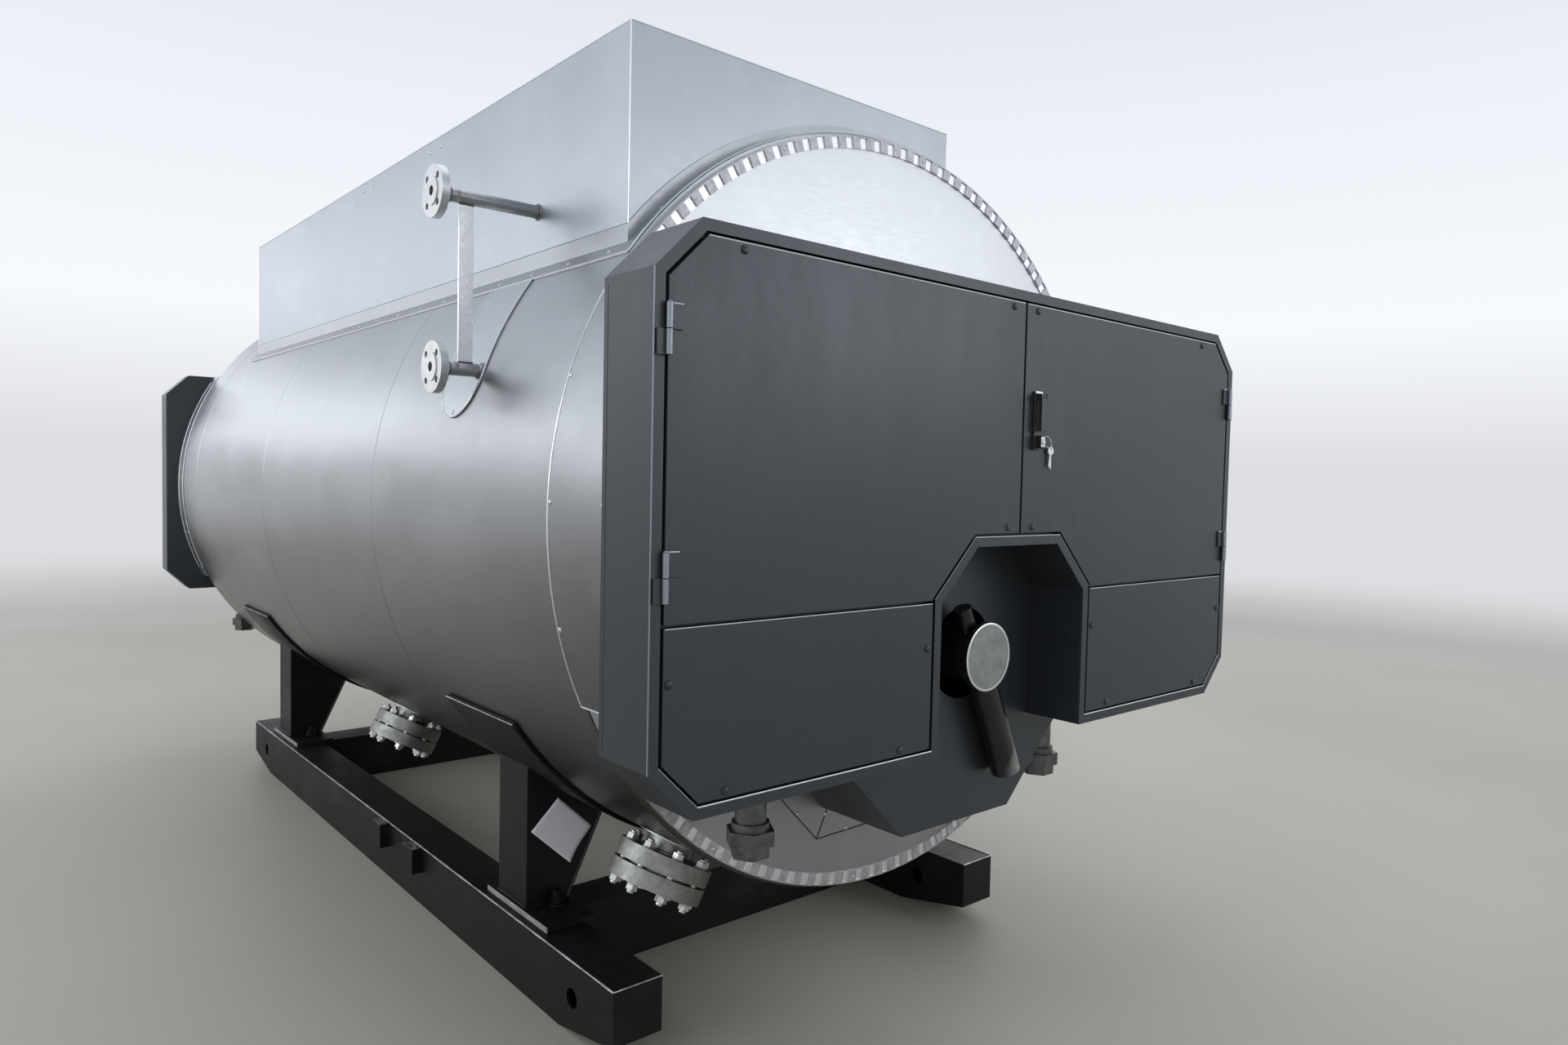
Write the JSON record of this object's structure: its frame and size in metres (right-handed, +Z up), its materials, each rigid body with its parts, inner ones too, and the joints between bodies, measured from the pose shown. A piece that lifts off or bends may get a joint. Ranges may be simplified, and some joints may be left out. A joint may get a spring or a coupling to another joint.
{
  "type": "industrial boiler",
  "caption": "Horizontal fire-tube steam boiler on a skid: jacketed barrel with top box, gauge nozzles, hand holes, and a front cowl with hinged doors round a burner tunnel.",
  "frame": {"origin": "on the floor under the barrel's axis, midway between the outer faces of the front and rear cowls", "axes": "+Y along the barrel from the burner end to the rear, +X to the right as seen from the burner end, +Z up"},
  "size_m": [1.788, 3.815, 2.075],
  "materials": {
    "skid_paint": "satin black paint on welded steel",
    "jacket_sheet": "satin brushed stainless sheet",
    "end_sheet": "smooth pale sheet",
    "machined_steel": "bare turned steel",
    "galvanised": "galvanised flat bar",
    "cowl_paint": "anthracite fine texture powder coat",
    "black_plastic": "matt black moulding",
    "dark_iron": "dark oiled iron"
  },
  "bodies": {
    "boiler": {"skid_beam_left": "skid_paint", "skid_beam_right": "skid_paint", "cross_member_front": "skid_paint", "cross_member_rear": "skid_paint", "saddle_front_left": "skid_paint", "saddle_front_right": "skid_paint", "saddle_rear_left": "skid_paint", "saddle_rear_right": "skid_paint", "jacket_course_1": "jacket_sheet", "jacket_course_2": "jacket_sheet", "jacket_course_3": "jacket_sheet", "jacket_course_4": "jacket_sheet", "front_hem": "jacket_sheet", "rear_hem": "jacket_sheet", "top_box_walls": "jacket_sheet", "top_box_roof": "jacket_sheet", "top_box_flashing": "jacket_sheet", "gauge_patch": "jacket_sheet", "front_smoke_box": "jacket_sheet", "rear_smoke_box": "jacket_sheet", "front_side_covers": "jacket_sheet", "rear_side_covers": "jacket_sheet", "front_end": "end_sheet", "rear_end": "end_sheet", "gauge_nozzle_upper": "machined_steel", "gauge_nozzle_lower": "machined_steel", "handhole_neck_front_left": "machined_steel", "handhole_neck_front_right": "machined_steel", "handhole_neck_rear_left": "machined_steel", "handhole_neck_rear_right": "machined_steel", "handhole_cover_front_left": "machined_steel", "handhole_cover_front_right": "machined_steel", "handhole_cover_rear_left": "machined_steel", "handhole_cover_rear_right": "machined_steel", "gauge_brace": "galvanised", "cowl_frame": "cowl_paint", "cowl_skin": "cowl_paint", "cowl_rebate": "cowl_paint", "cowl_back": "cowl_paint", "tunnel_lining": "cowl_paint", "left_lower_panel": "cowl_paint", "right_lower_panel": "cowl_paint", "burner_box": "cowl_paint", "rear_cowl_frame": "cowl_paint", "rear_cowl_panels": "cowl_paint", "burner_stub": "dark_iron", "front_drain_left": "dark_iron", "front_drain_right": "dark_iron", "rear_drain": "dark_iron"},
    "left_door": {"left_door": "cowl_paint", "left_door_edge": "cowl_paint"},
    "right_door": {"right_door": "cowl_paint", "right_door_edge": "cowl_paint", "handle_base": "black_plastic"},
    "handle_lever": {"handle_lever": "black_plastic"}
  },
  "joints": [
    {"name": "left_door_hinge", "type": "hinge", "parent": "boiler", "child": "left_door", "pos_m": [-0.863, -1.9045, 1.2565], "axis": [0, 0, -1], "range_deg": [0, 110]},
    {"name": "right_door_hinge", "type": "hinge", "parent": "boiler", "child": "right_door", "pos_m": [0.863, -1.9045, 1.2565], "axis": [0, 0, 1], "range_deg": [0, 110]},
    {"name": "handle_lift", "type": "hinge", "parent": "right_door", "child": "handle_lever", "pos_m": [0.042, -1.9125, 1.402], "axis": [-1, 0, 0], "range_deg": [0, 40]}
  ]
}
